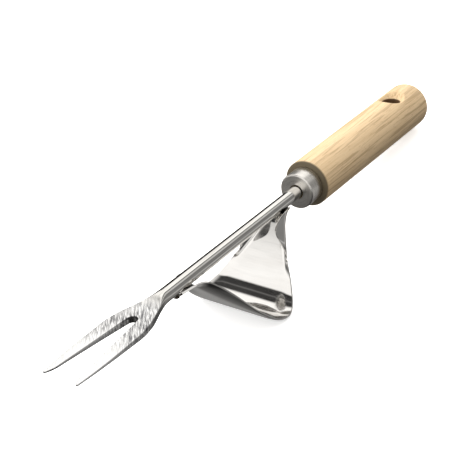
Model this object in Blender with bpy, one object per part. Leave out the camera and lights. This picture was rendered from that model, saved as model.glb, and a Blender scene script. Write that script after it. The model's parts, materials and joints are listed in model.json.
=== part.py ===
"""Hand weeding fork: a forged two-tine fork on a round steel shank, a pressed sheet fulcrum
welded under the shank, a stainless cup ferrule and a turned beech handle.

The pieces are modelled along the tool's own axis: X runs from the tines to the butt, X = 0 is the
front face of the ferrule and Z is the fork's upper side. They hang from one empty, which lays the
tool down as it really lies: on the bend of the fulcrum and on the rim of the butt.
"""
import math

import bmesh
import bpy
from mathutils import Vector

MM = 0.001
GAP = 0.3                   # clearance between pieces that touch, mm

# Shank and fork, mm
SHANK_RADIUS = 3.6
TANG_END = 62.0             # the shank runs this far into the handle
TANG_CHAMFER = 1.0
NECK_START = -118.5         # the round shank starts to flatten here
BLADE_START = -137.0        # the flat blade starts here
TIP_X = -187.5
NECK_SPREAD = 31.0          # the fork reaches its full width this far past NECK_START
NECK_FULLNESS = 0.88        # under 1, the neck spreads early
BLADE_HALF_WIDTH = 10.95
TIP_HALF_WIDTH = 9.7
TIP_TAPER = 25.0            # the tines close in over this length
BLADE_TOP, TIP_TOP = 0.95, -0.05            # the ground top, above the shank's axis
TOP_RUN_OUT = 10.0          # the grinding runs out into the round shank over this length
BLADE_BOTTOM, TIP_BOTTOM = -3.05, -0.95     # the underside
BELLY = 0.75                # under 1, the underside rises early
SLOT_ROOT_X = -138.2
SLOT_ROOT_HALF = 2.6
SLOT_TIP_HALF = 7.4
TIP_LAND = 0.75             # width that the slot's flare leaves at the tips
EDGE_RADIUS, UNDER_RADIUS = 0.5, 0.8        # softened long edges, above and below

# Ferrule, mm
FERRULE_RADIUS = 10.2
FERRULE_LENGTH = 10.8
FERRULE_WALL = 1.0
FERRULE_HOLE = 4.1
FERRULE_EDGE = 1.1

# Handle, mm
SHOULDER_X = FERRULE_LENGTH + GAP
BUTT_X = 142.5
SHOULDER_RADIUS = 13.5
BUTT_RADIUS = 14.3
SHOULDER_EDGE = 0.8
BUTT_EDGE = 4.5
BORE_RADIUS = 5.0
BORE_END = 65.0
TENON_CHAMFER = 1.0
HANG_HOLE_X = 116.0
HANG_HOLE_RADIUS = 5.4
HANG_HOLE_MOUTH = 10.0      # radius of the countersink at the handle's top line
HANG_HOLE_DEPTH = 4.0       # depth of the countersink

# Fulcrum, mm: a V in side view, which cups the shank at both ends
SHEET = 1.0
SEAT_RADIUS = SHANK_RADIUS + 0.4 + SHEET / 2      # mid sheet, where it cups the shank
FRONT_TAB = (-109.0, -98.0)
REAR_TAB = (-20.0, -13.0)
BEND_CORNER = (-56.0, -45.5)
FRONT_FILLET, BEND_RADIUS, REAR_FILLET = 8.0, 13.0, 10.0
BEND_HALF_WIDTH = 28.0
FRONT_HALF_WIDTH, REAR_HALF_WIDTH = 4.2, 4.4      # at the ends of the tabs
FRONT_ROUNDING, REAR_ROUNDING = 0.14, 0.10        # of the plan's corner at the bend
REAR_HOLLOW = 1.26                                # over 1, the rear edges run hollow in plan
FRONT_FOLD, REAR_FOLD = math.radians(54), math.radians(110)
FRONT_FOLD_FADE, REAR_FOLD_FADE = (2.0, 47.0), (16.0, 40.0)
FOLD_RADIUS = 3.5           # of the rear sides' fold, once it is clear of the shank
FOLD_SETTLE = 10.0
FLANK_HEIGHT = 9.0          # of the rear sides, at FLANK_PEAK from the rear end
FLANK_PEAK, FLANK_END = 17.0, 30.0

# Welds, mm
WELD_RADIUS = 1.0
WELD_SPREAD = math.radians(42)

BEECH = ("beech", (0.76, 0.56, 0.36, 1), 0.55, 0.0)
BRUSHED = ("brushed_stainless", (0.56, 0.55, 0.52, 1), 0.32, 1.0)
POLISHED = ("polished_stainless", (0.80, 0.78, 0.75, 1), 0.10, 1.0)
FORGED = ("ground_steel", (0.66, 0.66, 0.66, 1), 0.30, 1.0)
WELD = ("weld_steel", (0.32, 0.31, 0.30, 1), 0.45, 1.0)
EPOXY = ("epoxy", (0.45, 0.38, 0.22, 1), 0.40, 0.0)


def clear_scene():
    for obj in list(bpy.data.objects):
        bpy.data.objects.remove(obj, do_unlink=True)


def material(spec):
    name, colour, roughness, metallic = spec
    if name in bpy.data.materials:
        return bpy.data.materials[name]
    mat = bpy.data.materials.new(name)
    mat.use_nodes = True
    shader = mat.node_tree.nodes["Principled BSDF"]
    shader.inputs["Base Color"].default_value = colour
    shader.inputs["Roughness"].default_value = roughness
    shader.inputs["Metallic"].default_value = metallic
    return mat


def smooth_step(value):
    value = min(max(value, 0.0), 1.0)
    return value * value * (3 - 2 * value)


def lerp(a, b, t):
    return a + (b - a) * t


def add_object(name, verts, faces, spec, parent):
    """A closed solid from points in mm and faces, with its faces turned outwards."""
    mesh = bpy.data.meshes.new(name)
    mesh.from_pydata([[c * MM for c in v] for v in verts], [], faces)
    bm = bmesh.new()
    bm.from_mesh(mesh)
    bmesh.ops.recalc_face_normals(bm, faces=bm.faces)
    bm.to_mesh(mesh)
    bm.free()
    mesh.materials.append(material(spec))
    mesh.shade_smooth()
    mesh.set_sharp_from_angle(angle=math.radians(35))
    obj = bpy.data.objects.new(name, mesh)
    bpy.context.scene.collection.objects.link(obj)
    obj.parent = parent
    return obj


def loft(rings):
    """Vertices and faces of a closed loft through equal rings, with a flat cap at each end."""
    count = len(rings[0])
    verts = [p for ring in rings for p in ring]
    faces = []
    for i in range(len(rings) - 1):
        for j in range(count):
            k = (j + 1) % count
            faces.append((i * count + j, i * count + k, (i + 1) * count + k, (i + 1) * count + j))
    faces.append(tuple(range(count)))
    faces.append(tuple((len(rings) - 1) * count + j for j in range(count)))
    return verts, faces


def revolve(profile, segments):
    """A closed ring of profile points (x, r) turned about the tool axis."""
    verts, faces = [], []
    count = len(profile)
    for i in range(segments):
        turn = 2 * math.pi * i / segments
        for x, r in profile:
            verts.append((x, r * math.cos(turn), r * math.sin(turn)))
    for i in range(segments):
        n = (i + 1) % segments
        for j in range(count):
            k = (j + 1) % count
            faces.append((i * count + j, i * count + k, n * count + k, n * count + j))
    return verts, faces


def revolve_solid(outline, segments):
    """A turned solid whose outline (x, r) starts and ends on the axis."""
    first, last = outline[0], outline[-1]
    ring = outline[1:-1]
    verts, faces = [(first[0], 0, 0), (last[0], 0, 0)], []
    count = len(ring)
    for i in range(segments):
        turn = 2 * math.pi * i / segments
        for x, r in ring:
            verts.append((x, r * math.cos(turn), r * math.sin(turn)))
    for i in range(segments):
        n = (i + 1) % segments
        a, b = 2 + i * count, 2 + n * count
        faces.append((0, a, b))
        for j in range(count - 1):
            faces.append((a + j, a + j + 1, b + j + 1, b + j))
        faces.append((1, b + count - 1, a + count - 1))
    return verts, faces


def arc(cx, cy, radius, start, end, steps):
    """Points of an arc, angles in degrees."""
    points = []
    for i in range(steps + 1):
        a = math.radians(lerp(start, end, i / steps))
        points.append((cx + radius * math.cos(a), cy + radius * math.sin(a)))
    return points


def cut(target, cutter):
    cutter.hide_render = True
    cutter.display_type = "WIRE"
    mod = target.modifiers.new("cut_" + cutter.name, "BOOLEAN")
    mod.operation = "DIFFERENCE"
    mod.solver = "EXACT"
    mod.object = cutter


# ---------------------------------------------------------------- handle and ferrule

def make_handle(root):
    tenon, front = FERRULE_RADIUS - FERRULE_WALL - GAP, FERRULE_WALL + GAP
    outline = [(BORE_END, 0.0), (BORE_END, BORE_RADIUS), (front, BORE_RADIUS)]
    outline += [(front, tenon - TENON_CHAMFER), (front + TENON_CHAMFER, tenon)]
    outline += [(SHOULDER_X, tenon)]
    outline += arc(SHOULDER_X + SHOULDER_EDGE, SHOULDER_RADIUS - SHOULDER_EDGE, SHOULDER_EDGE,
                   180, 90, 4)
    outline += arc(BUTT_X - BUTT_EDGE, BUTT_RADIUS - BUTT_EDGE, BUTT_EDGE, 90, 0, 9)
    outline += [(BUTT_X, 0.0)]
    verts, faces = revolve_solid(outline, 64)
    handle = add_object("handle", verts, faces, BEECH, root)

    surface = lerp(SHOULDER_RADIUS, BUTT_RADIUS, (HANG_HOLE_X - SHOULDER_X) / (BUTT_X - SHOULDER_X))
    clear = 3.0
    slope = (HANG_HOLE_MOUTH - HANG_HOLE_RADIUS) / HANG_HOLE_DEPTH
    base, wide = surface - HANG_HOLE_DEPTH, HANG_HOLE_MOUTH + slope * clear
    profile = [(surface + clear, 0), (surface + clear, wide), (base, HANG_HOLE_RADIUS)]
    profile += [(-x, r) for x, r in reversed(profile)]
    verts, faces = revolve_solid(profile, 40)
    verts = [(HANG_HOLE_X - z, y, x) for x, y, z in verts]
    cutter = add_object("hang_hole_cutter", verts, faces, BEECH, root)
    cut(handle, cutter)
    return handle


def make_ferrule(root):
    inner = FERRULE_RADIUS - FERRULE_WALL
    profile = [(0.0, FERRULE_HOLE)]
    profile += arc(FERRULE_EDGE, FERRULE_RADIUS - FERRULE_EDGE, FERRULE_EDGE, 180, 90, 6)
    profile += [(FERRULE_LENGTH, FERRULE_RADIUS), (FERRULE_LENGTH, inner)]
    profile += [(FERRULE_WALL, inner), (FERRULE_WALL, FERRULE_HOLE)]
    verts, faces = revolve(profile, 64)
    return add_object("ferrule", verts, faces, BRUSHED, root)


def make_tang_adhesive(root):
    inner, outer = SHANK_RADIUS + GAP, BORE_RADIUS - GAP
    front, end = FERRULE_WALL + 2 * GAP, BORE_END - GAP
    outline = [(TANG_END + GAP, 0.0), (TANG_END + GAP, inner), (front, inner), (front, outer)]
    outline += [(end, outer), (end, 0.0)]
    verts, faces = revolve_solid(outline, 32)
    return add_object("tang_adhesive", verts, faces, EPOXY, root)


# ---------------------------------------------------------------- fork and shank

def blade_share(x):
    """0 at BLADE_START and 1 at the tips, negative on the neck."""
    return (BLADE_START - x) / (BLADE_START - TIP_X)


def half_width(x):
    """The fork widens from the shank and closes in a little at the tips."""
    spread = smooth_step((max(NECK_START - x, 0.0) / NECK_SPREAD) ** NECK_FULLNESS)
    taper = max(TIP_X + TIP_TAPER - x, 0.0) / TIP_TAPER
    return lerp(lerp(SHANK_RADIUS, BLADE_HALF_WIDTH, spread), TIP_HALF_WIDTH, taper ** 2)


def shank_section(x):
    """One closed section of the shank or fork at x, as points with x, y and z."""
    ground = smooth_step((NECK_START - x) / TOP_RUN_OUT)
    forged = smooth_step((NECK_START - x) / (NECK_START - BLADE_START))
    rise = max(blade_share(x), 0.0) ** BELLY
    top = lerp(SHANK_RADIUS, lerp(BLADE_TOP, TIP_TOP, blade_share(x)), ground)
    bottom = lerp(-SHANK_RADIUS, lerp(BLADE_BOTTOM, TIP_BOTTOM, rise), forged)
    most = 0.48 * (top - bottom)
    over = min(lerp(SHANK_RADIUS, EDGE_RADIUS, ground), most)
    under = min(lerp(SHANK_RADIUS, UNDER_RADIUS, forged), most)
    if ground == 0.0:
        over = under = SHANK_RADIUS
    width = half_width(x)
    ring = []
    per_corner = 8
    for quarter in range(4):
        sy = 1 if quarter in (0, 3) else -1
        corner = over if quarter < 2 else under
        centre = top - over if quarter < 2 else bottom + under
        for i in range(per_corner + 1):
            a = math.radians(90 * quarter + 90 * i / per_corner)
            ring.append((x, sy * (width - corner) + corner * math.cos(a),
                         centre + corner * math.sin(a)))
    return ring


def slot_half_width(x):
    """Half the space between the tines, which opens towards the tips and flares at their ends."""
    along = max((SLOT_ROOT_X - SLOT_ROOT_HALF - x) / (SLOT_ROOT_X - TIP_X), 0.0)
    flare_start, flare_length = 0.82, 0.13
    flare = max(0.0, (along - flare_start) / flare_length) ** 2
    widest = TIP_HALF_WIDTH - TIP_LAND - SLOT_TIP_HALF
    return lerp(SLOT_ROOT_HALF, SLOT_TIP_HALF, along) + widest * flare


def make_fork_shank(root):
    neck_steps, blade_steps, tip_steps = 24, 4, 8
    taper_start = TIP_X + TIP_TAPER
    stations = [TANG_END - TANG_CHAMFER, 0.0, NECK_START]
    stations += [lerp(NECK_START, BLADE_START - 12.0, (i + 1) / neck_steps)
                 for i in range(neck_steps)]
    stations += [lerp(BLADE_START - 12.0, taper_start, (i + 1) / blade_steps)
                 for i in range(blade_steps)]
    stations += [lerp(taper_start, TIP_X, (i + 1) / tip_steps) for i in range(tip_steps)]
    rings = [shank_section(x) for x in stations]
    shrink = 1 - TANG_CHAMFER / SHANK_RADIUS
    nose = [(TANG_END, y * shrink, z * shrink) for _, y, z in rings[0]]
    verts, faces = loft([nose] + rings)
    shank = add_object("fork_shank", verts, faces, FORGED, root)

    # On the round shank the corner arcs meet, so their end points are merged.
    bm = bmesh.new()
    bm.from_mesh(shank.data)
    bmesh.ops.remove_doubles(bm, verts=bm.verts, dist=0.00001)
    bmesh.ops.recalc_face_normals(bm, faces=bm.faces)
    bm.to_mesh(shank.data)
    bm.free()

    steps = 24
    clear = 6.0
    xs = [lerp(SLOT_ROOT_X - SLOT_ROOT_HALF, TIP_X, i / steps) for i in range(steps + 1)]
    upper = [(x, slot_half_width(x)) for x in xs] + [(TIP_X - 4.0, TIP_HALF_WIDTH + 1.0)]
    lower = [(x, -y) for x, y in reversed(upper)]
    root_arc = arc(xs[0], 0, SLOT_ROOT_HALF, -90, 90, 10)[1:-1]
    rings = [[(x, y, z) for x, y in upper + lower + root_arc] for z in (-clear, clear)]
    verts, faces = loft(rings)
    cutter = add_object("tine_slot_cutter", verts, faces, FORGED, root)
    cut(shank, cutter)
    return shank


# ---------------------------------------------------------------- fulcrum

def filleted_path(corners, radii, steps):
    """Corners (x, z) joined by straight runs, with an arc of its own radius at each inner one."""
    path = [Vector(corners[0])]
    for before, corner, after, radius in zip(corners, corners[1:], corners[2:], radii):
        corner = Vector(corner)
        back = (Vector(before) - corner).normalized()
        ahead = (Vector(after) - corner).normalized()
        half = back.angle(ahead) / 2
        centre = corner + (back + ahead).normalized() * (radius / math.sin(half))
        start = corner + back * (radius / math.tan(half)) - centre
        sweep = start.angle_signed(corner + ahead * (radius / math.tan(half)) - centre)
        for i in range(steps + 1):
            a = -sweep * i / steps
            path.append(centre + Vector((start.x * math.cos(a) - start.y * math.sin(a),
                                         start.x * math.sin(a) + start.y * math.cos(a))))
    path.append(Vector(corners[-1]))
    return path


def resample(path, count):
    """Evenly spaced points along a path, with the distance of each from the start."""
    runs = [0.0]
    for a, b in zip(path, path[1:]):
        runs.append(runs[-1] + (b - a).length)
    points, k = [], 0
    for i in range(count):
        s = runs[-1] * i / (count - 1)
        while k < len(runs) - 2 and runs[k + 1] < s:
            k += 1
        points.append((s, path[k].lerp(path[k + 1], (s - runs[k]) / (runs[k + 1] - runs[k]))))
    return points


def plan_share(away, rounding):
    """1 at the bend and 0 at a tab's end (away = 1), falling evenly from a rounded top."""
    drop = math.sqrt(away ** 2 + rounding ** 2) - rounding
    return max(1 - drop / (math.sqrt(1 + rounding ** 2) - rounding), 0.0)


def fade(s, span):
    """1 up to the start of span, 0 past its end."""
    return 1 - smooth_step((s - span[0]) / (span[1] - span[0]))


def front_shape(s, length):
    """Half width, flat half bottom, bend radius and fold, s from the front end of the sheet."""
    spread = plan_share((length - s) / length, FRONT_ROUNDING)
    width = lerp(FRONT_HALF_WIDTH, BEND_HALF_WIDTH, spread)
    fold = FRONT_FOLD * fade(s, FRONT_FOLD_FADE)
    return width, 0.0, max(SEAT_RADIUS, width / max(fold, 0.001)), fold


def rear_shape(s, length):
    """The same from the rear end: a flat bottom between sides that fold up and lean in."""
    spread = plan_share((length - s) / length, REAR_ROUNDING) ** REAR_HOLLOW
    bottom = lerp(REAR_HALF_WIDTH, BEND_HALF_WIDTH, spread)
    radius = lerp(SEAT_RADIUS, FOLD_RADIUS, smooth_step(s / FOLD_SETTLE))
    rise = smooth_step(s / FLANK_PEAK) * fade(s, (FLANK_PEAK, FLANK_END))
    fold = REAR_FOLD * fade(s, REAR_FOLD_FADE)
    return bottom + FLANK_HEIGHT * rise, max(bottom - radius, 0.0), radius, fold


def sheet_section(shape, offset, across):
    """Points (y, height) across one face of the sheet, offset from mid sheet."""
    width, bottom, radius, fold = shape
    points = []
    for i in range(across):
        a = width * (2 * i / (across - 1) - 1)
        level = min(abs(a), bottom)
        bent = min(abs(a) - level, radius * fold)
        flat = abs(a) - level - bent
        turn = bent / radius
        y = level + (radius - offset) * math.sin(turn) + flat * math.cos(turn)
        h = radius - (radius - offset) * math.cos(turn) + flat * math.sin(turn)
        points.append((math.copysign(y, a) if a else 0.0, h))
    return points


def fulcrum_layers():
    """The sheet's two faces as grids of points."""
    seat = -SEAT_RADIUS
    corners = [(FRONT_TAB[0], seat), (FRONT_TAB[1], seat), BEND_CORNER, (REAR_TAB[0], seat),
               (REAR_TAB[1], seat)]
    path = filleted_path(corners, (FRONT_FILLET, BEND_RADIUS, REAR_FILLET), 24)
    points = resample(path, 73)
    total = points[-1][0]
    middle = min(points, key=lambda p: p[1].y)[0]
    layers = ([], [])
    for i, (s, p) in enumerate(points):
        before, after = points[max(i - 1, 0)][1], points[min(i + 1, len(points) - 1)][1]
        tangent = (after - before).normalized()
        up = Vector((-tangent.y, tangent.x))
        shape = front_shape(s, middle) if s < middle else rear_shape(total - s, total - middle)
        for layer, offset in zip(layers, (SHEET / 2, -SHEET / 2)):
            section = sheet_section(shape, offset, 29)
            layer.append([(p.x + up.x * h, y, p.y + up.y * h) for y, h in section])
    return layers


def make_fulcrum(root):
    inner, outer = fulcrum_layers()
    rings = [top + bottom[::-1] for top, bottom in zip(inner, outer)]
    verts, faces = loft(rings)
    return add_object("fulcrum_bracket", verts, faces, POLISHED, root)


def make_weld(name, x, root):
    """A crescent of weld at the end of a tab, round the underside of the shank."""
    centre = SHANK_RADIUS + GAP + WELD_RADIUS
    rings = []
    steps = 14
    for i in range(steps + 1):
        t = 2 * i / steps - 1
        turn = WELD_SPREAD * t
        radius = WELD_RADIUS * math.sqrt(max(1 - (0.98 * t) ** 2, 0.0))
        reach = centre - (WELD_RADIUS - radius) * 0.9
        ring = []
        for k in range(12):
            a = 2 * math.pi * k / 12
            r = reach + radius * math.cos(a)
            ring.append((x + radius * math.sin(a), r * math.sin(turn), -r * math.cos(turn)))
        rings.append(ring)
    verts, faces = loft(rings)
    return add_object(name, verts, faces, WELD, root)


# ---------------------------------------------------------------- lying down

def resting_angle():
    """The tilt about Y that brings the fulcrum's bend and the butt's rim down to one plane."""
    seat = -SEAT_RADIUS
    back = (Vector((FRONT_TAB[1], seat)) - Vector(BEND_CORNER)).normalized()
    ahead = (Vector((REAR_TAB[0], seat)) - Vector(BEND_CORNER)).normalized()
    half = back.angle(ahead) / 2
    bend = Vector(BEND_CORNER) + (back + ahead).normalized() * (BEND_RADIUS / math.sin(half))
    rim = Vector((BUTT_X - BUTT_EDGE, BUTT_EDGE - BUTT_RADIUS))
    between = rim - bend
    outer = BEND_RADIUS + SHEET / 2
    lean = math.atan2(between.y, between.x)
    return lean + math.asin((outer - BUTT_EDGE) / between.length)


def world_box(objects):
    bpy.context.view_layer.update()
    depsgraph = bpy.context.evaluated_depsgraph_get()
    low, high = Vector((1e9,) * 3), Vector((-1e9,) * 3)
    for obj in objects:
        evaluated = obj.evaluated_get(depsgraph)
        for vert in evaluated.data.vertices:
            p = evaluated.matrix_world @ vert.co
            low = Vector(map(min, low, p))
            high = Vector(map(max, high, p))
    return low, high


def main():
    clear_scene()
    root = bpy.data.objects.new("tool_axis", None)
    bpy.context.scene.collection.objects.link(root)
    pieces = [make_handle(root), make_ferrule(root), make_tang_adhesive(root),
              make_fork_shank(root), make_fulcrum(root)]
    reach = WELD_RADIUS + GAP
    pieces.append(make_weld("front_weld", FRONT_TAB[0] - reach, root))
    pieces.append(make_weld("rear_weld", REAR_TAB[1] + reach, root))

    root.rotation_euler = (0, resting_angle(), 0)
    low, high = world_box(pieces)
    root.location = (-(low.x + high.x) / 2, -(low.y + high.y) / 2, -low.z)
    bpy.context.view_layer.update()


main()
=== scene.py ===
"""Looks of the hand weeding fork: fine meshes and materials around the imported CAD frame.

Every new piece is built in the tool's own axes, in metres: X from the tines to the butt, X = 0 at
the ferrule's front face, Z on the fork's upper side. tool_frame() reads those axes from the frame.
"""

import json
import math

import bmesh
import bpy
from mathutils import Matrix, Vector


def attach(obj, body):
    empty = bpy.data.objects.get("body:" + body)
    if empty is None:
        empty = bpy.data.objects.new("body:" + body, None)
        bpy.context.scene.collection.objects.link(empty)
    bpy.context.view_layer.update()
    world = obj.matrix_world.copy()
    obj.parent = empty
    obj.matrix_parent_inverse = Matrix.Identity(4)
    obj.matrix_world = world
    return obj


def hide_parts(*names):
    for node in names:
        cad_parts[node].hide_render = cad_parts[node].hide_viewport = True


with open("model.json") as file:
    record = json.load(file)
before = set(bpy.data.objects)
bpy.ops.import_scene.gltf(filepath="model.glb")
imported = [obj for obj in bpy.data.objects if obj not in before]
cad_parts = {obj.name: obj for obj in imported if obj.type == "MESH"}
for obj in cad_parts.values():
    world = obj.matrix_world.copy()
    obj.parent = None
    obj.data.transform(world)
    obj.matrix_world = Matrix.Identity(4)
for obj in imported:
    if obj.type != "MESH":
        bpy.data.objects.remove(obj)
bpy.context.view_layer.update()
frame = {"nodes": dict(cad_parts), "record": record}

MM = 0.001
GAP = 0.3 * MM              # between pieces that touch
THREAD = 0.0001 * MM        # radius that closes a turned piece on its axis


# ---------------------------------------------------------------- the tool's axes and main sizes

def tool_frame():
    """The matrix of the tool's axes: X against the ferrule's face mount, Y across, Z up."""
    mounts = {m["name"]: m for m in frame["record"]["mounts"]}
    x = -Vector(mounts["ferrule_face"]["axis"]).normalized()
    z = x.cross(Vector((0, 1, 0))).normalized()
    y = z.cross(x)
    points = [v.co for v in frame["nodes"]["ferrule"].data.vertices]
    centre = sum(points, Vector()) / len(points)
    face = min((p - centre).dot(x) for p in points)
    rotation = Matrix((x, y, z)).transposed().to_4x4()
    return Matrix.Translation(centre + x * face) @ rotation


TOOL = tool_frame()


def reach(node):
    """Lowest and highest corner of a CAD node along the tool's axes, in metres."""
    inverse = TOOL.inverted()
    points = [inverse @ v.co for v in frame["nodes"][node].data.vertices]
    low = Vector([min(p[i] for p in points) for i in range(3)])
    high = Vector([max(p[i] for p in points) for i in range(3)])
    return low, high


FORK_LOW, FORK_HIGH = reach("fork_shank")
FERRULE_HIGH = reach("ferrule")[1]
HANDLE_HIGH = reach("handle")[1]
FULCRUM_LOW, FULCRUM_HIGH = reach("fulcrum_bracket")

# Shank and fork, metres
SHANK_RADIUS = 3.6 * MM
TIP_X = FORK_LOW.x
TANG_END = FORK_HIGH.x
TANG_CHAMFER = 1.0 * MM
NECK_START = TIP_X + 69.0 * MM
BLADE_START = TIP_X + 50.5 * MM
SLOT_ROOT = TIP_X + 49.3 * MM
NECK_SPREAD, NECK_FULLNESS = 31.0 * MM, 0.88
BLADE_HALF_WIDTH = FORK_HIGH.y
TIP_HALF_WIDTH = BLADE_HALF_WIDTH - 1.25 * MM
TIP_TAPER = 25.0 * MM
BLADE_TOP, TIP_TOP = 0.95 * MM, -0.05 * MM
TOP_RUN_OUT = 10.0 * MM
BLADE_BOTTOM, TIP_BOTTOM = -3.05 * MM, -0.95 * MM
BELLY = 0.75
SLOT_ROOT_HALF, SLOT_TIP_HALF = 2.6 * MM, 7.4 * MM
TIP_LAND = 0.75 * MM        # width that the slot's flare leaves at the tips
SLOT_EDGE = 0.3 * MM
EDGE_RADIUS, UNDER_RADIUS = 0.4 * MM, 0.8 * MM

# Ferrule and handle, metres
FERRULE_RADIUS, FERRULE_LENGTH = FERRULE_HIGH.y, FERRULE_HIGH.x
FERRULE_WALL, FERRULE_HOLE, FERRULE_EDGE = 1.0 * MM, 4.1 * MM, 1.1 * MM
BUTT_X, BUTT_RADIUS = HANDLE_HIGH.x, HANDLE_HIGH.y
SHOULDER_X = FERRULE_LENGTH + GAP
SHOULDER_RADIUS = BUTT_RADIUS - 0.8 * MM
SHOULDER_EDGE, BUTT_EDGE = 0.8 * MM, 4.5 * MM
BORE_RADIUS = 5.0 * MM
BORE_END = TANG_END + 3.0 * MM
TENON_CHAMFER = 1.0 * MM
HANG_HOLE_X = BUTT_X - 26.5 * MM
HANG_HOLE_RADIUS, HANG_HOLE_MOUTH = 5.4 * MM, 10.0 * MM
HANG_HOLE_DEPTH = 4.0 * MM
HANG_HOLE_EASE = 0.7 * MM

# Fulcrum, metres
SHEET = 1.0 * MM
SEAT_RADIUS = SHANK_RADIUS + 0.4 * MM + SHEET / 2
FRONT_TAB = (FULCRUM_LOW.x, FULCRUM_LOW.x + 11.0 * MM)
REAR_TAB = (FULCRUM_HIGH.x - 7.0 * MM, FULCRUM_HIGH.x)
BEND_CORNER = (FULCRUM_LOW.x + 53.0 * MM, -46.8 * MM)
FRONT_FILLET, BEND_RADIUS, REAR_FILLET = 8.0 * MM, 16.0 * MM, 10.0 * MM
BEND_HALF_WIDTH = FULCRUM_HIGH.y
FRONT_HALF_WIDTH, REAR_HALF_WIDTH = 4.2 * MM, 4.4 * MM
FRONT_ROUNDING, REAR_ROUNDING, REAR_HOLLOW = 0.14, 0.10, 1.26
FRONT_FOLD, REAR_FOLD = math.radians(54), math.radians(110)
FRONT_FOLD_FADE = (2.0 * MM, 47.0 * MM)
REAR_FOLD_FADE = (16.0 * MM, 40.0 * MM)
FOLD_RADIUS, FOLD_SETTLE = 3.5 * MM, 10.0 * MM
FLANK_HEIGHT, FLANK_PEAK, FLANK_END = 9.0 * MM, 17.0 * MM, 30.0 * MM
SIDE_CURL, CURL_WIDTH = 0.7 * MM, 6.0 * MM      # of the long edges, at the bend
CUT_EDGE = 0.1 * MM         # how far the sheet's edges are rounded over

# Welds, metres
WELD_RADIUS = 1.0 * MM
WELD_SPREAD = math.radians(42)
WELD_RIPPLE, WELD_RIPPLES = 0.07, 26            # height as a share of the radius, and rate


# ---------------------------------------------------------------- small helpers

def lerp(a, b, t):
    return a + (b - a) * t


def smooth_step(value):
    value = min(max(value, 0.0), 1.0)
    return value * value * (3 - 2 * value)


def arc(cx, cy, radius, start, end, steps):
    """Points of an arc, angles in degrees."""
    points = []
    for i in range(steps + 1):
        a = math.radians(lerp(start, end, i / steps))
        points.append((cx + radius * math.cos(a), cy + radius * math.sin(a)))
    return points


def make_piece(name, verts, faces, mat, sharp=50.0):
    """A smooth-shaded mesh in the tool's axes, with its faces turned outwards."""
    mesh = bpy.data.meshes.new(name)
    mesh.from_pydata([tuple(v) for v in verts], [], faces)
    bm = bmesh.new()
    bm.from_mesh(mesh)
    bmesh.ops.remove_doubles(bm, verts=bm.verts, dist=1e-7)
    bmesh.ops.recalc_face_normals(bm, faces=bm.faces)
    bm.to_mesh(mesh)
    bm.free()
    if mat:
        mesh.materials.append(mat)
    mesh.shade_smooth()
    mesh.set_sharp_from_angle(angle=math.radians(sharp))
    obj = bpy.data.objects.new(name, mesh)
    bpy.context.scene.collection.objects.link(obj)
    obj.matrix_world = TOOL
    return obj


def bridge(rows, closed_rows=False, closed_ring=True):
    """Vertices and quads of a skin through equal rows of points."""
    count = len(rows[0])
    verts = [p for row in rows for p in row]
    faces = []
    for i in range(len(rows) - (0 if closed_rows else 1)):
        n = (i + 1) % len(rows)
        for j in range(count - (0 if closed_ring else 1)):
            k = (j + 1) % count
            faces.append((i * count + j, i * count + k, n * count + k, n * count + j))
    return verts, faces


def lathe(profile, segments, closed=True):
    """Profile points (x, r) turned about the tool's axis."""
    rows = []
    for i in range(segments):
        turn = 2 * math.pi * i / segments
        rows.append([(x, r * math.cos(turn), r * math.sin(turn)) for x, r in profile])
    return bridge(rows, closed_rows=True, closed_ring=closed)


def apply_cut(target, cutter):
    """Takes the cutter out of the target and drops the cutter."""
    mod = target.modifiers.new("cut", "BOOLEAN")
    mod.operation = "DIFFERENCE"
    mod.solver = "EXACT"
    mod.object = cutter
    bpy.context.view_layer.update()
    depsgraph = bpy.context.evaluated_depsgraph_get()
    mesh = bpy.data.meshes.new_from_object(target.evaluated_get(depsgraph))
    target.modifiers.clear()
    old = target.data
    target.data = mesh
    bpy.data.meshes.remove(old)
    bpy.data.objects.remove(cutter, do_unlink=True)


# ---------------------------------------------------------------- materials

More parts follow.
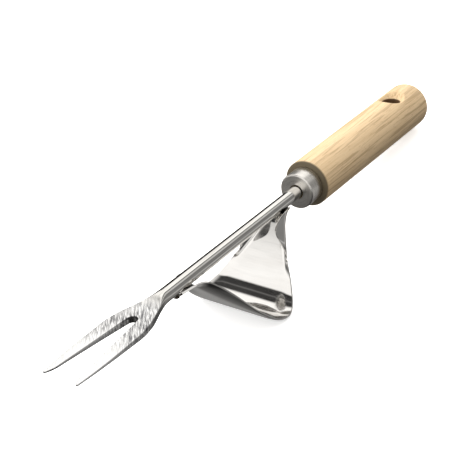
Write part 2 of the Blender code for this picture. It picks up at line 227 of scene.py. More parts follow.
class Nodes:
    """A node material with short calls for what the recipes below share."""

    def __init__(self, name):
        self.mat = bpy.data.materials.new(name)
        self.mat.use_nodes = True
        self.tree = self.mat.node_tree
        self.shader = self.tree.nodes["Principled BSDF"]
        coords = self.tree.nodes.new("ShaderNodeTexCoord")
        self.place = coords.outputs["Object"]

    def new(self, kind, **values):
        node = self.tree.nodes.new(kind)
        for key, value in values.items():
            setattr(node, key, value)
        return node

    def link(self, a, b):
        self.tree.links.new(a, b)

    def stretched(self, scale, offset=(0, 0, 0)):
        """Object coordinates scaled to one unit per feature along each of the tool's axes."""
        node = self.new("ShaderNodeMapping")
        node.inputs["Scale"].default_value = scale
        node.inputs["Location"].default_value = offset
        self.link(self.place, node.inputs["Vector"])
        return node.outputs["Vector"]

    def slanted(self, scale, degrees):
        """As stretched, but with the features turned about Z."""
        node = self.new("ShaderNodeMapping", vector_type="TEXTURE")
        node.inputs["Scale"].default_value = [1 / k for k in scale]
        node.inputs["Rotation"].default_value = (0, 0, math.radians(degrees))
        self.link(self.place, node.inputs["Vector"])
        return node.outputs["Vector"]

    def noise(self, vector, detail=4.0, roughness=0.55, distortion=0.0, scale=1.0):
        node = self.new("ShaderNodeTexNoise")
        node.inputs["Scale"].default_value = scale
        node.inputs["Detail"].default_value = detail
        node.inputs["Roughness"].default_value = roughness
        node.inputs["Distortion"].default_value = distortion
        self.link(vector, node.inputs["Vector"])
        return node.outputs["Fac"]

    def ramp(self, value, stops):
        node = self.new("ShaderNodeValToRGB")
        ramp = node.color_ramp
        while len(ramp.elements) < len(stops):
            ramp.elements.new(0.5)
        for element, (place, colour) in zip(ramp.elements, stops):
            element.position = place
            element.color = (*colour, 1) if len(colour) == 3 else colour
        self.link(value, node.inputs["Fac"])
        return node.outputs["Color"]

    def remap(self, value, low, high, to_low, to_high):
        node = self.new("ShaderNodeMapRange")
        for key, number in (("From Min", low), ("From Max", high), ("To Min", to_low),
                            ("To Max", to_high)):
            node.inputs[key].default_value = number
        self.link(value, node.inputs["Value"])
        return node.outputs["Result"]

    def mix(self, factor, a, b, blend="MIX"):
        node = self.new("ShaderNodeMix", data_type="RGBA", blend_type=blend)
        for socket, value in (("Factor", factor), ("A", a), ("B", b)):
            target = [s for s in node.inputs if s.name == socket
                      and s.type == ("VALUE" if socket == "Factor" else "RGBA")][0]
            if isinstance(value, (float, int)):
                target.default_value = value
            elif isinstance(value, tuple):
                target.default_value = (*value, 1)
            else:
                self.link(value, target)
        return [s for s in node.outputs if s.type == "RGBA"][0]

    def multiply(self, a, b):
        node = self.new("ShaderNodeMath", operation="MULTIPLY")
        self.link(a, node.inputs[0])
        self.link(b, node.inputs[1])
        return node.outputs["Value"]

    def bump(self, height, strength, distance, normal=None):
        node = self.new("ShaderNodeBump")
        node.inputs["Strength"].default_value = strength
        node.inputs["Distance"].default_value = distance
        self.link(height, node.inputs["Height"])
        if normal is not None:
            self.link(normal, node.inputs["Normal"])
        return node.outputs["Normal"]

    def finish(self, colour=None, roughness=None, normal=None, **fixed):
        for name, value in (("Base Color", colour), ("Roughness", roughness), ("Normal", normal)):
            if value is not None:
                self.link(value, self.shader.inputs[name])
        for name, value in fixed.items():
            self.shader.inputs[name.replace("_", " ")].default_value = value
        return self.mat


def beech_material():
    """Pale turned beech: long grain, growth rings, short ray flecks, darker end grain with painted
    shade where the shoulder meets the ferrule, and painted shade in the hang hole's throat.
    """
    n = Nodes("beech")
    broad = n.noise(n.stretched((9, 90, 90)), detail=3)
    rings = n.new("ShaderNodeTexWave", wave_type="RINGS", rings_direction="X", wave_profile="SAW")
    rings.inputs["Scale"].default_value = 1.0
    rings.inputs["Distortion"].default_value = 5.0
    rings.inputs["Detail"].default_value = 3.0
    rings.inputs["Detail Scale"].default_value = 0.6
    n.link(n.stretched((10, 95, 95), (0, 1.9, -3.1)), rings.inputs["Vector"])
    grain = n.noise(n.stretched((20, 700, 700), (1, 7, 2)), detail=3, roughness=0.6,
                    distortion=0.9)
    fine = n.noise(n.stretched((40, 1500, 1500)), detail=5, roughness=0.6)
    flecks = n.noise(n.stretched((240, 2000, 2000), (3, 0, 0)), detail=1)
    split = n.new("ShaderNodeSeparateXYZ")
    n.link(n.place, split.inputs["Vector"])
    # Darker end grain on the shoulder, darkened further as painted shade where the shoulder sits
    # against the ferrule.
    end_grain_and_shade = n.remap(split.outputs["X"], SHOULDER_X + 0.1 * MM, SHOULDER_X + 1.1 * MM, 1, 0)

    # Distance from the hang hole's axis, the mask of the painted shade in the hole's throat.
    bore_axis = n.new("ShaderNodeVectorMath", operation="SUBTRACT")
    n.link(n.place, bore_axis.inputs[0])
    bore_axis.inputs[1].default_value = (HANG_HOLE_X, 0, 0)
    flat = n.new("ShaderNodeVectorMath", operation="MULTIPLY")
    n.link(bore_axis.outputs["Vector"], flat.inputs[0])
    flat.inputs[1].default_value = (1, 1, 0)
    length = n.new("ShaderNodeVectorMath", operation="LENGTH")
    n.link(flat.outputs["Vector"], length.inputs[0])
    shaded_throat_distance = length.outputs["Value"]

    base = n.ramp(broad, [(0.30, (0.60, 0.43, 0.235)), (0.55, (0.70, 0.51, 0.29)),
                          (0.75, (0.78, 0.58, 0.345))])
    ringed = n.mix(n.remap(rings.outputs["Fac"], 0, 1, 0.0, 0.34), base, (0.50, 0.335, 0.175))
    lined = n.mix(n.remap(grain, 0.52, 0.60, 0.0, 0.85), ringed, (0.40, 0.26, 0.125))
    grained = n.mix(n.remap(fine, 0.35, 0.70, 0.0, 0.35), lined, (0.86, 0.68, 0.45))
    flecked = n.mix(n.remap(flecks, 0.62, 0.74, 0.0, 0.45), grained, (0.40, 0.25, 0.12))
    # Darker end grain plus painted shade on the shoulder beside the ferrule.
    colour = n.mix(end_grain_and_shade, flecked, (0.15, 0.12, 0.075))
    # Painted shade: the hang hole's throat is coloured dark brown, as if it lay in shadow.
    colour = n.mix(n.remap(shaded_throat_distance, HANG_HOLE_RADIUS + 0.1 * MM, HANG_HOLE_RADIUS + 0.5 * MM, 1, 0),
                   colour, (0.10, 0.055, 0.025))
    roughness = n.remap(fine, 0.3, 0.7, 0.42, 0.56)
    normal = n.bump(grain, 0.20, 0.00015)
    normal = n.bump(fine, 0.25, 0.00012, normal)
    normal = n.bump(flecks, 0.15, 0.0001, normal)
    return n.finish(colour, roughness, normal, Specular_IOR_Level=0.38)


def shank_material():
    """Polished steel: fine lines along the shank, slanted grinding scratches on the fork."""
    n = Nodes("ground_steel")
    along = n.noise(n.stretched((60, 1600, 1600)), detail=4)
    across = n.noise(n.slanted((90, 1500, 300), 34), detail=4, roughness=0.75)
    slanted = n.noise(n.slanted((170, 1200, 300), 44), detail=3, distortion=0.4)
    patch = n.noise(n.stretched((60, 60, 60), (4, 1, 0)), detail=2)
    split = n.new("ShaderNodeSeparateXYZ")
    n.link(n.place, split.inputs["Vector"])
    x = split.outputs["X"]
    starts = n.remap(x, NECK_START - 4 * MM, NECK_START - 12 * MM, 0.0, 1.0)
    ends = n.remap(x, SLOT_ROOT - 28 * MM, SLOT_ROOT - 14 * MM, 0.10, 1.0)
    zone = n.multiply(starts, ends)
    scratch = n.mix(0.45, across, slanted)
    depth = n.multiply(n.remap(scratch, 0.43, 0.58, 0.0, 1.0), n.remap(patch, 0.30, 0.6, 0.35, 1.0))
    depth = n.multiply(depth, zone)
    polished = n.ramp(along, [(0.30, (0.68, 0.665, 0.635)), (0.60, (0.80, 0.79, 0.765))])
    bright = n.mix(starts, polished, (0.90, 0.90, 0.895))
    colour = n.mix(depth, bright, (0.09, 0.09, 0.10))
    roughness = n.remap(depth, 0.0, 1.0, 0.09, 0.34)
    normal = n.bump(along, 0.10, 0.00004)
    normal = n.bump(scratch, 0.25, 0.00006, normal)
    return n.finish(colour, roughness, normal, Metallic=1.0)


def ferrule_material():
    """Brushed stainless, with lines that run round the cup."""
    n = Nodes("brushed_ferrule")
    split = n.new("ShaderNodeSeparateXYZ")
    n.link(n.place, split.inputs["Vector"])
    flat = n.new("ShaderNodeCombineXYZ")
    n.link(split.outputs["Y"], flat.inputs["Y"])
    n.link(split.outputs["Z"], flat.inputs["Z"])
    length = n.new("ShaderNodeVectorMath", operation="LENGTH")
    n.link(flat.outputs["Vector"], length.inputs[0])
    polar = n.new("ShaderNodeCombineXYZ")
    n.link(split.outputs["X"], polar.inputs["X"])
    n.link(length.outputs["Value"], polar.inputs["Y"])
    stretch = n.new("ShaderNodeMapping")
    stretch.inputs["Scale"].default_value = (3800, 3800, 1)
    n.link(polar.outputs["Vector"], stretch.inputs["Vector"])
    lines = n.noise(stretch.outputs["Vector"], detail=4, roughness=0.7)
    blotch = n.noise(n.stretched((130, 130, 130)), detail=3)
    colour = n.ramp(lines, [(0.30, (0.74, 0.71, 0.67)), (0.70, (0.95, 0.93, 0.89))])
    colour = n.mix(n.remap(blotch, 0.4, 0.7, 0.0, 0.25), colour, (0.60, 0.58, 0.55))
    roughness = n.remap(lines, 0.3, 0.7, 0.36, 0.24)
    tangent = n.new("ShaderNodeTangent", direction_type="RADIAL", axis="X")
    n.link(tangent.outputs["Tangent"], n.shader.inputs["Tangent"])
    normal = n.bump(lines, 0.25, 0.00004)
    return n.finish(colour, roughness, normal, Metallic=1.0, Anisotropic=0.6)


def sheet_material():
    """Mirror polished stainless with faint polishing haze."""
    n = Nodes("polished_sheet")
    haze = n.noise(n.stretched((90, 30, 90)), detail=4)
    fine = n.noise(n.stretched((900, 60, 900)), detail=4, roughness=0.6)
    colour = n.ramp(haze, [(0.35, (0.80, 0.785, 0.765)), (0.65, (0.86, 0.85, 0.835))])
    roughness = n.remap(fine, 0.35, 0.7, 0.055, 0.13)
    normal = n.bump(haze, 0.05, 0.0002)
    return n.finish(colour, roughness, normal, Metallic=1.0)


def weld_material():
    """Dark weld metal with a heat tint."""
    n = Nodes("weld_metal")
    blotch = n.noise(n.stretched((900, 900, 900)), detail=4)
    colour = n.ramp(blotch, [(0.35, (0.07, 0.06, 0.05)), (0.55, (0.20, 0.17, 0.13)),
                             (0.72, (0.42, 0.39, 0.35))])
    roughness = n.remap(blotch, 0.3, 0.7, 0.55, 0.32)
    normal = n.bump(blotch, 0.5, 0.0002)
    return n.finish(colour, roughness, normal, Metallic=1.0)


def epoxy_material():
    """Cured epoxy, amber and slightly cloudy."""
    n = Nodes("cured_epoxy")
    cloud = n.noise(n.stretched((300, 300, 300)), detail=3)
    colour = n.ramp(cloud, [(0.35, (0.30, 0.22, 0.10)), (0.65, (0.42, 0.33, 0.17))])
    return n.finish(colour, n.remap(cloud, 0.3, 0.7, 0.30, 0.45))


def floor_material():
    """Pale and matt, with a faint glow of its own that keeps shadows light."""
    n = Nodes("pale_floor")
    cloud = n.noise(n.stretched((1.5, 1.5, 1.5)), detail=2)
    colour = n.ramp(cloud, [(0.3, (0.90, 0.90, 0.895)), (0.7, (0.92, 0.92, 0.915))])
    return n.finish(colour, n.remap(cloud, 0.3, 0.7, 0.85, 0.9), Specular_IOR_Level=0.1,
                    Emission_Color=(1, 1, 1, 1), Emission_Strength=0.55)


# ---------------------------------------------------------------- handle and ferrule

def handle_surface(x):
    """Outside radius of the handle at x, between the two rounded edges."""
    return lerp(SHOULDER_RADIUS, BUTT_RADIUS, (x - SHOULDER_X) / (BUTT_X - BUTT_EDGE - SHOULDER_X))


def make_handle(mat):
    tenon = FERRULE_RADIUS - FERRULE_WALL - GAP
    front = FERRULE_WALL + GAP
    outline = [(BORE_END, THREAD), (BORE_END, BORE_RADIUS), (front, BORE_RADIUS)]
    outline += [(front, tenon - TENON_CHAMFER), (front + TENON_CHAMFER, tenon)]
    outline += [(SHOULDER_X, tenon)]
    outline += arc(SHOULDER_X + SHOULDER_EDGE, SHOULDER_RADIUS - SHOULDER_EDGE, SHOULDER_EDGE,
                   180, 90, 8)
    steps = 60
    for i in range(1, steps):
        x = lerp(SHOULDER_X + SHOULDER_EDGE, BUTT_X - BUTT_EDGE, i / steps)
        outline.append((x, handle_surface(x)))
    outline += arc(BUTT_X - BUTT_EDGE, BUTT_RADIUS - BUTT_EDGE, BUTT_EDGE, 90, 0, 16)
    outline.append((BUTT_X, THREAD))
    verts, faces = lathe(outline, 144, closed=False)
    handle = make_piece("handle_turned", verts, faces, mat)
    bm = bmesh.new()
    bm.from_mesh(handle.data)
    bmesh.ops.remove_doubles(bm, verts=bm.verts, dist=1e-6)
    bm.to_mesh(handle.data)
    bm.free()
    apply_cut(handle, make_hole_cutter())
    handle.data.shade_smooth()
    handle.data.set_sharp_from_angle(angle=math.radians(32))
    return handle


def make_hole_cutter():
    """The hang hole: a round throat with a conical countersink at both ends, whose rim follows
    the handle's round surface and is eased over."""
    segments, steps, halvings = 120, 6, 30
    clear = 3 * MM
    slope = (HANG_HOLE_MOUTH - HANG_HOLE_RADIUS) / HANG_HOLE_DEPTH
    base = handle_surface(HANG_HOLE_X) - HANG_HOLE_DEPTH

    def surface(radius, turn):
        x, y = HANG_HOLE_X + radius * math.cos(turn), radius * math.sin(turn)
        return math.sqrt(handle_surface(x) ** 2 - y * y)

    def point(radius, height, turn):
        return Vector((HANG_HOLE_X + radius * math.cos(turn), radius * math.sin(turn), height))

    columns = []
    for i in range(segments):
        turn = 2 * math.pi * i / segments
        low, high = HANG_HOLE_RADIUS, HANG_HOLE_MOUTH + 1 * MM
        for _ in range(halvings):
            rim = (low + high) / 2
            if base + (rim - HANG_HOLE_RADIUS) / slope < surface(rim, turn):
                low = rim
            else:
                high = rim
        inside, outside = rim - HANG_HOLE_EASE, rim + HANG_HOLE_EASE
        a = point(inside, base + (inside - HANG_HOLE_RADIUS) / slope, turn)
        b = point(rim, surface(rim, turn), turn)
        c = point(outside, surface(outside, turn) + 0.01 * MM, turn)
        column = [point(HANG_HOLE_RADIUS, base - 0.3 * MM, turn),
                  point(HANG_HOLE_RADIUS + 0.08 * MM, base + 0.02 * MM, turn),
                  point(HANG_HOLE_RADIUS + 0.3 * slope * MM, base + 0.3 * MM, turn)]
        column += [a.lerp(b, k / steps).lerp(b.lerp(c, k / steps), k / steps)
                   for k in range(steps + 1)]
        column.append(c + Vector((0, 0, clear)))
        columns.append(column)
    upper = [[column[k] for column in columns] for k in range(len(columns[0]))]
    lower = [[Vector((p.x, p.y, -p.z)) for p in row] for row in upper]
    rings = lower[::-1] + upper
    verts, faces = bridge(rings)
    faces.append(tuple(range(segments)))
    faces.append(tuple((len(rings) - 1) * segments + i for i in range(segments)))
    return make_piece("hang_hole_cutter", verts, faces, None)


def make_ferrule(mat):
    inner = FERRULE_RADIUS - FERRULE_WALL
    rim = 0.25 * MM
    profile = arc(rim, FERRULE_HOLE + rim, rim, 270, 180, 4)
    profile += arc(FERRULE_EDGE, FERRULE_RADIUS - FERRULE_EDGE, FERRULE_EDGE, 180, 90, 12)
    steps = 8
    for i in range(1, steps):
        profile.append((lerp(FERRULE_EDGE, FERRULE_LENGTH - rim, i / steps), FERRULE_RADIUS))
    profile += arc(FERRULE_LENGTH - rim, FERRULE_RADIUS - rim, rim, 90, 0, 4)
    profile += [(FERRULE_LENGTH, inner), (FERRULE_WALL, inner), (FERRULE_WALL, FERRULE_HOLE)]
    verts, faces = lathe(profile, 144)
    return make_piece("ferrule_cup", verts, faces, mat, sharp=40)


# ---------------------------------------------------------------- fork and shank

def blade_share(x):
    """0 at BLADE_START and 1 at the tips, negative on the neck."""
    return (BLADE_START - x) / (BLADE_START - TIP_X)


def ground_share(x):
    """0 on the round shank and 1 where the top is ground flat."""
    return smooth_step((NECK_START - x) / TOP_RUN_OUT)


def fork_top(x):
    return lerp(SHANK_RADIUS, lerp(BLADE_TOP, TIP_TOP, blade_share(x)), ground_share(x))


def fork_bottom(x):
    forged = smooth_step((NECK_START - x) / (NECK_START - BLADE_START))
    rise = max(blade_share(x), 0.0) ** BELLY
    return lerp(-SHANK_RADIUS, lerp(BLADE_BOTTOM, TIP_BOTTOM, rise), forged)


def outer_half_width(x):
    """Half the width of the fork: it widens from the shank and closes a little at the tips."""
    spread = smooth_step((max(NECK_START - x, 0.0) / NECK_SPREAD) ** NECK_FULLNESS)
    taper = max(TIP_X + TIP_TAPER - x, 0.0) / TIP_TAPER
    return lerp(lerp(SHANK_RADIUS, BLADE_HALF_WIDTH, spread), TIP_HALF_WIDTH, taper ** 2)


def slot_half_width(x):
    """Half the space between the tines: a round root, then an opening that grows to the tips."""
    along = min(max((SLOT_ROOT - SLOT_ROOT_HALF - x) / (SLOT_ROOT - TIP_X), 0.0), 1.0)
    opening = lerp(SLOT_ROOT_HALF, SLOT_TIP_HALF, along)
    flare_start, flare_length = 0.82, 0.13
    flare = max(0.0, (along - flare_start) / flare_length) ** 2
    flick = (TIP_HALF_WIDTH - TIP_LAND - SLOT_TIP_HALF) * flare
    from_root = SLOT_ROOT - x
    if from_root < SLOT_ROOT_HALF:
        return math.sqrt(max(SLOT_ROOT_HALF ** 2 - (SLOT_ROOT_HALF - from_root) ** 2, 0.0))
    return opening + flick


def fork_ring(x, shrink=1.0):
    """One closed section of the shank or fork, its four corners rounded."""
    forged = smooth_step((NECK_START - x) / (NECK_START - BLADE_START))
    top, bottom, width = fork_top(x), fork_bottom(x), outer_half_width(x)
    most = 0.48 * (top - bottom)
    over = min(lerp(SHANK_RADIUS, EDGE_RADIUS, ground_share(x)), most)
    under = min(lerp(SHANK_RADIUS, UNDER_RADIUS, forged), most)
    if x >= NECK_START:
        over = under = SHANK_RADIUS * 0.999
    ring = []
    for quarter in range(4):
        side = 1 if quarter in (0, 3) else -1
        corner = over if quarter < 2 else under
        centre = top - over if quarter < 2 else bottom + under
        ring += arc(side * (width - corner), centre, corner, 90 * quarter, 90 * quarter + 90, 12)
    return [(x, y * shrink, z * shrink) for y, z in ring]


def make_fork(mat):
    """The forging as one loft, with the slot cut out of its blade."""
    shank_steps, fork_steps = 30, 140
    stations = [lerp(TANG_END - TANG_CHAMFER, NECK_START, i / shank_steps)
                for i in range(shank_steps + 1)]
    stations += [lerp(NECK_START, TIP_X, i / fork_steps) for i in range(1, fork_steps + 1)]
    rings = [fork_ring(TANG_END, 1 - TANG_CHAMFER / SHANK_RADIUS)]
    rings += [fork_ring(x) for x in stations]
    count = len(rings[0])
    verts, faces = bridge(rings)
    faces.append(tuple(range(count)))
    faces.append(tuple((len(rings) - 1) * count + j for j in range(count)))
    fork = make_piece("fork_forging", verts, faces, mat)
    apply_cut(fork, make_slot_cutter())
    fork.data.shade_smooth()
    fork.data.set_sharp_from_angle(angle=math.radians(30))
    return fork


def make_slot_cutter():
    """The space between the tines: an outline in plan, with its long edges rounded over."""
    root_steps, side_steps = 12, 70
    xs = [SLOT_ROOT - SLOT_ROOT_HALF * (1 - math.cos(math.pi / 2 * i / root_steps))
          for i in range(root_steps + 1)]
    xs += [lerp(SLOT_ROOT - SLOT_ROOT_HALF, TIP_X, i / side_steps)
           for i in range(1, side_steps + 1)]
    side = [Vector((x, slot_half_width(x))) for x in xs]
    side.append(Vector((TIP_X - 4 * MM, TIP_HALF_WIDTH + 1.2 * MM)))
    outline = side + [Vector((p.x, -p.y)) for p in reversed(side[1:])]
    count = len(outline)
    normals = []
    for i, p in enumerate(outline):
        before, after = outline[i - 1], outline[(i + 1) % count]
        t = (after - before).normalized()
        normals.append(Vector((-t.y, t.x)))
    if normals[count // 4].y < 0:
        normals = [-n for n in normals]
    steps, clear = 5, 4.0
    levels = [(SLOT_EDGE, -clear)]
    for k in range(steps, -1, -1):
        t = math.radians(90 * k / steps)
        levels.append((SLOT_EDGE * (1 - math.cos(t)), 1 - math.sin(t)))

    def ring(offset, depth, surface, sign):
        return [(p.x + n.x * offset, p.y + n.y * offset, surface(p.x) - sign * SLOT_EDGE * depth)
                for p, n in zip(outline, normals)]

    rings = [ring(offset, depth, fork_top, 1) for offset, depth in levels]
    rings += [ring(offset, depth, fork_bottom, -1) for offset, depth in reversed(levels)]
    verts, faces = bridge(rings)
    faces.append(tuple(range(count)))
    faces.append(tuple((len(rings) - 1) * count + i for i in range(count)))
    return make_piece("slot_cutter", verts, faces, None)


# ---------------------------------------------------------------- fulcrum and welds

def filleted_path(corners, radii, steps):
    """Corners (x, z) joined by straight runs, with an arc of its own radius at each inner one."""
    path = [Vector(corners[0])]
    for before, corner, after, radius in zip(corners, corners[1:], corners[2:], radii):
        corner = Vector(corner)
        back = (Vector(before) - corner).normalized()
        ahead = (Vector(after) - corner).normalized()
        half = back.angle(ahead) / 2
        centre = corner + (back + ahead).normalized() * (radius / math.sin(half))
        start = corner + back * (radius / math.tan(half)) - centre
        sweep = start.angle_signed(corner + ahead * (radius / math.tan(half)) - centre)
        for i in range(steps + 1):
            a = -sweep * i / steps
            path.append(centre + Vector((start.x * math.cos(a) - start.y * math.sin(a),
                                         start.x * math.sin(a) + start.y * math.cos(a))))
    path.append(Vector(corners[-1]))
    return path


def resample(path, count):
    """Evenly spaced points along a path, each with its distance from the start."""
    runs = [0.0]
    for a, b in zip(path, path[1:]):
        runs.append(runs[-1] + (b - a).length)
    points, k = [], 0
    for i in range(count):
        s = runs[-1] * i / (count - 1)
        while k < len(runs) - 2 and runs[k + 1] < s:
            k += 1
        points.append((s, path[k].lerp(path[k + 1], (s - runs[k]) / (runs[k + 1] - runs[k]))))
    return points


def plan_share(away, rounding):
    """1 at the bend and 0 at a tab's end (away = 1), falling evenly from a rounded top."""
    drop = math.sqrt(away ** 2 + rounding ** 2) - rounding
    return max(1 - drop / (math.sqrt(1 + rounding ** 2) - rounding), 0.0)


def fade(s, span):
    """1 up to the start of span, 0 past its end."""
    return 1 - smooth_step((s - span[0]) / (span[1] - span[0]))


def front_shape(s, length):
    """Half width, flat half bottom, bend radius and fold, s from the front end of the sheet."""
    spread = plan_share((length - s) / length, FRONT_ROUNDING)
    width = lerp(FRONT_HALF_WIDTH, BEND_HALF_WIDTH, spread)
    fold = FRONT_FOLD * fade(s, FRONT_FOLD_FADE)
    return width, 0.0, max(SEAT_RADIUS, width / max(fold, 0.001)), fold


def rear_shape(s, length):
    """The same from the rear end: a flat bottom between sides that fold up and lean in."""
    spread = plan_share((length - s) / length, REAR_ROUNDING) ** REAR_HOLLOW
    bottom = lerp(REAR_HALF_WIDTH, BEND_HALF_WIDTH, spread)
    radius = lerp(SEAT_RADIUS, FOLD_RADIUS, smooth_step(s / FOLD_SETTLE))
    rise = smooth_step(s / FLANK_PEAK) * fade(s, (FLANK_PEAK, FLANK_END))
    fold = REAR_FOLD * fade(s, REAR_FOLD_FADE)
    return bottom + FLANK_HEIGHT * rise, max(bottom - radius, 0.0), radius, fold


def sheet_section(shape, curl, across):
    """Middle line across the sheet as (y, height, lean)."""
    width, bottom, radius, fold = shape
    width -= CUT_EDGE
    points = []
    for i in range(across):
        a = width * math.sin(math.pi / 2 * (2 * i / (across - 1) - 1))
        level = min(abs(a), bottom)
        bent = min(abs(a) - level, radius * fold)
        flat = abs(a) - level - bent
        turn = bent / radius
        y = level + radius * math.sin(turn) + flat * math.cos(turn)
        h = radius * (1 - math.cos(turn)) + flat * math.sin(turn)
        edge = max(0.0, (abs(a) - width + CURL_WIDTH) / CURL_WIDTH)
        h += curl * edge ** 2
        lean = turn + math.atan(2 * curl * edge / CURL_WIDTH)
        side = -1 if a < 0 else 1
        points.append((side * y, h, side * lean))
    return points


def make_fulcrum(mat):
    seat = -SEAT_RADIUS
    corners = [(FRONT_TAB[0], seat), (FRONT_TAB[1], seat), BEND_CORNER, (REAR_TAB[0], seat),
               (REAR_TAB[1], seat)]
    path = filleted_path(corners, (FRONT_FILLET, BEND_RADIUS, REAR_FILLET), 60)
    points = resample(path, 241)
    total = points[-1][0]
    middle = min(points, key=lambda p: p[1].y)[0]
    rings = []
    for i, (s, p) in enumerate(points):
        before, after = points[max(i - 1, 0)][1], points[min(i + 1, len(points) - 1)][1]
        tangent = (after - before).normalized()
        up = Vector((-tangent.y, tangent.x))
        front = s < middle
        shape = front_shape(s, middle) if front else rear_shape(total - s, total - middle)
        away = (middle - s) / middle if front else (s - middle) / (total - middle)
        section = sheet_section(shape, SIDE_CURL * smooth_step(1 - away * 1.6), 81)
        upper = [offset_point(p, up, q, SHEET / 2) for q in section]
        lower = [offset_point(p, up, q, -SHEET / 2) for q in section]
        ring = upper + sheet_edge(p, up, section[-1], 1) + lower[::-1]
        ring += sheet_edge(p, up, section[0], -1)
        rings.append(ring)
    verts, faces = bridge(rings)
    count = len(rings[0])
    faces.append(tuple(range(count)))
    faces.append(tuple((len(rings) - 1) * count + i for i in range(count)))
    return make_piece("fulcrum_sheet", verts, faces, mat, sharp=38)


def offset_point(p, up, section_point, offset):
    y, h, lean = section_point
    y -= offset * math.sin(lean)
    h += offset * math.cos(lean)
    return (p.x + up.x * h, y, p.y + up.y * h)


def sheet_edge(p, up, section_point, side):
    """Points round a cut edge, which is slightly rounded over."""
    y, h, lean = section_point
    points = []
    for share in (0.72, 0.0, -0.72):
        out = side * CUT_EDGE * (1.0 if share == 0.0 else 0.7)
        dy = out * math.cos(lean) - share * SHEET / 2 * math.sin(lean)
        dh = out * math.sin(lean) * side + share * SHEET / 2 * math.cos(lean)
        points.append((p.x + up.x * (h + dh), y + dy, p.y + up.y * (h + dh)))
    return points if side > 0 else points[::-1]


def make_weld(name, x, mat):
    """A crescent weld bead round the shank's underside, with the ripples of its passes."""
    centre = SHANK_RADIUS + GAP + WELD_RADIUS
    steps, around = 60, 20
    rows = []
    for i in range(steps + 1):
        t = 2 * i / steps - 1
        turn = WELD_SPREAD * t
        ripple = 1 + WELD_RIPPLE * math.sin(WELD_RIPPLES * t)
        radius = WELD_RADIUS * 0.93 * math.sqrt(max(1 - (0.98 * t) ** 2, 0.0)) * ripple
        middle = centre - (WELD_RADIUS - radius) * 0.9
        row = []
        for k in range(around):
            a = 2 * math.pi * k / around
            r = middle + radius * math.cos(a)
            row.append((x + radius * math.sin(a), r * math.sin(turn), -r * math.cos(turn)))
        rows.append(row)
    verts, faces = bridge(rows)
    faces.append(tuple(range(around)))
    faces.append(tuple(steps * around + k for k in range(around)))
    return make_piece(name, verts, faces, mat)


# ---------------------------------------------------------------- studio

CAMERA_AZIMUTH, CAMERA_ELEVATION = -53.5, 28.9      # about the tool's own axes, degrees
CAMERA_ROLL = -4.8
CAMERA_DISTANCE = 0.524                             # from the ferrule's face
CAMERA_LENS = 73.5
FLOOR_HALF, FLOOR_DROP = 6.0, 0.0005
AIM_LEFT, AIM_DOWN = 0.0334, 0.0235                 # the aim lies this far from the ferrule


def make_camera():
    a, e = math.radians(CAMERA_AZIMUTH), math.radians(CAMERA_ELEVATION)
    roll = math.radians(CAMERA_ROLL)
    back = Vector((math.sin(a) * math.cos(e), -math.cos(a) * math.cos(e), math.sin(e)))
    flat_right = Vector((0, 0, 1)).cross(back).normalized()
    flat_up = back.cross(flat_right)
    right = flat_right * math.cos(roll) + flat_up * math.sin(roll)
    up = flat_up * math.cos(roll) - flat_right * math.sin(roll)
    place = back * CAMERA_DISTANCE - right * AIM_LEFT - up * AIM_DOWN
    matrix = Matrix((right, up, back)).transposed().to_4x4()
    matrix.translation = place
    data = bpy.data.cameras.new("camera")
    data.lens = CAMERA_LENS
    data.sensor_width = 36
    data.clip_start, data.clip_end = 0.01, 50
    camera = bpy.data.objects.new("camera", data)
    bpy.context.scene.collection.objects.link(camera)
    camera.matrix_world = TOOL @ matrix
    bpy.context.scene.camera = camera


def make_area_light(name, place, aim, size, power, colour=(1, 1, 1)):
    data = bpy.data.lights.new(name, "AREA")
    data.shape = "RECTANGLE"
    data.size, data.size_y = size
    data.energy = power
    data.color = colour
    light = bpy.data.objects.new(name, data)
    bpy.context.scene.collection.objects.link(light)
    light.location = place
    light.rotation_euler = (Vector(aim) - Vector(place)).to_track_quat("-Z", "Y").to_euler()
    return light


def make_floor():
    """A pale floor that polished steel doesn't mirror."""
    size = FLOOR_HALF
    verts = [(-size, -size, 0), (size, -size, 0), (size, size, 0), (-size, size, 0)]
    mesh = bpy.data.meshes.new("floor")
    mesh.from_pydata(verts, [], [(0, 1, 2, 3)])
    mesh.materials.append(floor_material())
    floor = bpy.data.objects.new("floor", mesh)
    floor.location.z = -FLOOR_DROP
    floor.visible_glossy = False
    floor.visible_diffuse = False
    bpy.context.scene.collection.objects.link(floor)


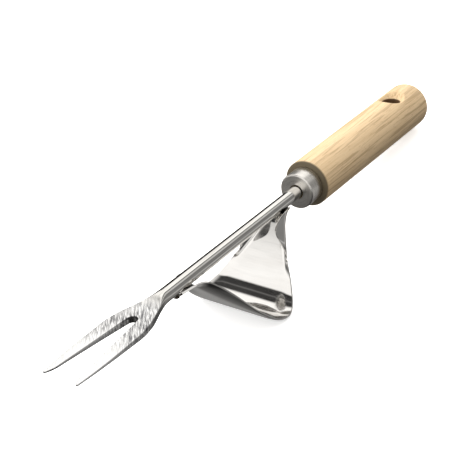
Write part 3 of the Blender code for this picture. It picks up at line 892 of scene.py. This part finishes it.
class Sky:
    """Short calls for a world whose light depends on direction."""

    def __init__(self, tree):
        self.tree = tree
        coords = tree.nodes.new("ShaderNodeTexCoord")
        self.direction = coords.outputs["Generated"]
        split = tree.nodes.new("ShaderNodeSeparateXYZ")
        tree.links.new(self.direction, split.inputs["Vector"])
        self.x, self.y, self.z = (split.outputs[k] for k in "XYZ")

    def turn(self, up, level):
        """The angle of the direction above an axis, in degrees from -180 to 180."""
        node = self.tree.nodes.new("ShaderNodeMath")
        node.operation = "ARCTAN2"
        self.tree.links.new(up, node.inputs[0])
        self.tree.links.new(level, node.inputs[1])
        return self.remap(node.outputs["Value"], -math.pi, math.pi, -180, 180)

    def remap(self, value, low, high, to_low, to_high, smooth=False):
        node = self.tree.nodes.new("ShaderNodeMapRange")
        node.interpolation_type = "SMOOTHSTEP" if smooth else "LINEAR"
        for key, number in (("From Min", low), ("From Max", high), ("To Min", to_low),
                            ("To Max", to_high)):
            node.inputs[key].default_value = number
        self.tree.links.new(value, node.inputs["Value"])
        return node.outputs["Result"]

    def towards(self, direction):
        """1 towards a direction, -1 away from it."""
        node = self.tree.nodes.new("ShaderNodeVectorMath")
        node.operation = "DOT_PRODUCT"
        node.inputs[1].default_value = Vector(direction).normalized()
        self.tree.links.new(self.direction, node.inputs[0])
        return node.outputs["Value"]

    def bands(self, angle, stops):
        """Brightness by angle, from stops (degrees, brightness) that run from -180 to 180."""
        curve = self.tree.nodes.new("ShaderNodeFloatCurve")
        points = curve.mapping.curves[0].points
        while len(points) < len(stops):
            points.new(0.5, 0.5)
        for point, (degrees, value) in zip(points, stops):
            point.location = ((degrees + 180) / 360, value / 2)
            point.handle_type = "VECTOR"
        curve.mapping.update()
        share = self.remap(angle, -180, 180, 0, 1)
        self.tree.links.new(share, curve.inputs["Value"])
        return self.remap(curve.outputs["Value"], 0, 1, 0, 2)

    def mix(self, factor, a, b):
        node = self.tree.nodes.new("ShaderNodeMix")
        node.data_type = "FLOAT"
        for socket, value in zip(node.inputs[:1] + node.inputs[2:4], (factor, a, b)):
            if isinstance(value, (int, float)):
                socket.default_value = value
            else:
                self.tree.links.new(value, socket)
        return node.outputs[0]


# Brightness of the studio in a mirror. BEHIND is what the round shank and the fork mirror, by the
# angle above +Y; AHEAD is what the fulcrum mirrors, by the angle above +X.
BEHIND = [(-180, 0.24), (-164, 0.24), (-158, 0.50), (-148, 0.50), (-140, 0.25), (-112, 0.25),
          (-100, 0.08), (-88, 0.08), (-80, 0.28), (-50, 0.28), (-44, 0.05), (27, 0.02),
          (36, 1.25), (102, 1.25), (107, 0.04), (115, 0.04), (121, 0.66), (143, 0.64),
          (150, 0.20), (180, 0.24)]
AHEAD = [(-180, 0.16), (-140, 0.14), (-100, 0.06), (-60, 0.20), (-10, 0.30), (10, 1.1), (66, 1.2),
         (76, 0.03), (92, 0.04), (97, 0.16), (102, 0.04), (121, 0.03), (127, 1.15), (150, 1.2),
         (165, 0.6), (180, 0.16)]


def make_world():
    """A soft studio. What lights the wood and the floor comes mostly from the far side and above;
    what the metal mirrors are white walls with dark gaps between them."""
    world = bpy.data.worlds.new("studio")
    bpy.context.scene.world = world
    world.use_nodes = True
    tree = world.node_tree
    sky = Sky(tree)
    behind = sky.bands(sky.turn(sky.z, sky.y), BEHIND)
    ahead = sky.bands(sky.turn(sky.z, sky.x), AHEAD)
    low = sky.remap(sky.z, -0.12, 0.10, 0.22, 0.95, smooth=True)
    near = sky.mix(sky.remap(sky.y, -0.15, 0.15, 0, 1, smooth=True), low, 1.0)
    shaded = tree.nodes.new("ShaderNodeMath")
    shaded.operation = "MULTIPLY"
    tree.links.new(ahead, shaded.inputs[0])
    tree.links.new(near, shaded.inputs[1])
    open_side = sky.remap(sky.y, 0.22, 0.38, 0.85, 0.0, smooth=True)
    overhead = sky.mix(sky.remap(sky.z, 0.55, 0.80, 0, 1, smooth=True), 0.0, open_side)
    lit = tree.nodes.new("ShaderNodeMath")
    lit.operation = "MAXIMUM"
    tree.links.new(shaded.outputs[0], lit.inputs[0])
    tree.links.new(overhead, lit.inputs[1])
    mirror = sky.mix(sky.remap(sky.x, 0.20, 0.42, 0, 1, smooth=True), lit.outputs[0], behind)
    soft = sky.remap(sky.towards((0.30, 0.75, 0.62)), -0.5, 0.9, 0.30, 2.3, smooth=True)
    path = tree.nodes.new("ShaderNodeLightPath")
    strength = sky.mix(path.outputs["Is Glossy Ray"], soft, mirror)
    background = tree.nodes["Background"]
    background.inputs["Color"].default_value = (1.0, 0.985, 0.96, 1)
    tree.links.new(strength, background.inputs["Strength"])


def make_studio():
    make_floor()
    make_world()
    key = make_area_light("key", (0.35, 0.85, 0.85), (0, 0, 0), (0.9, 0.9), 5.0)
    key.visible_glossy = False
    make_camera()
    bpy.context.scene.view_settings.view_transform = "Standard"


# ---------------------------------------------------------------- the object

def place_piece(obj, node):
    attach(obj, "root")
    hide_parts(node)


def main():
    place_piece(make_handle(beech_material()), "handle")
    place_piece(make_ferrule(ferrule_material()), "ferrule")
    place_piece(make_fork(shank_material()), "fork_shank")
    place_piece(make_fulcrum(sheet_material()), "fulcrum_bracket")
    weld = weld_material()
    for node, bead in (("front_weld", "front_weld_bead"), ("rear_weld", "rear_weld_bead")):
        low, high = reach(node)
        place_piece(make_weld(bead, (low.x + high.x) / 2, weld), node)
    frame["nodes"]["tang_adhesive"].data.materials.clear()
    frame["nodes"]["tang_adhesive"].data.materials.append(epoxy_material())
    make_studio()


main()
bpy.context.view_layer.update()
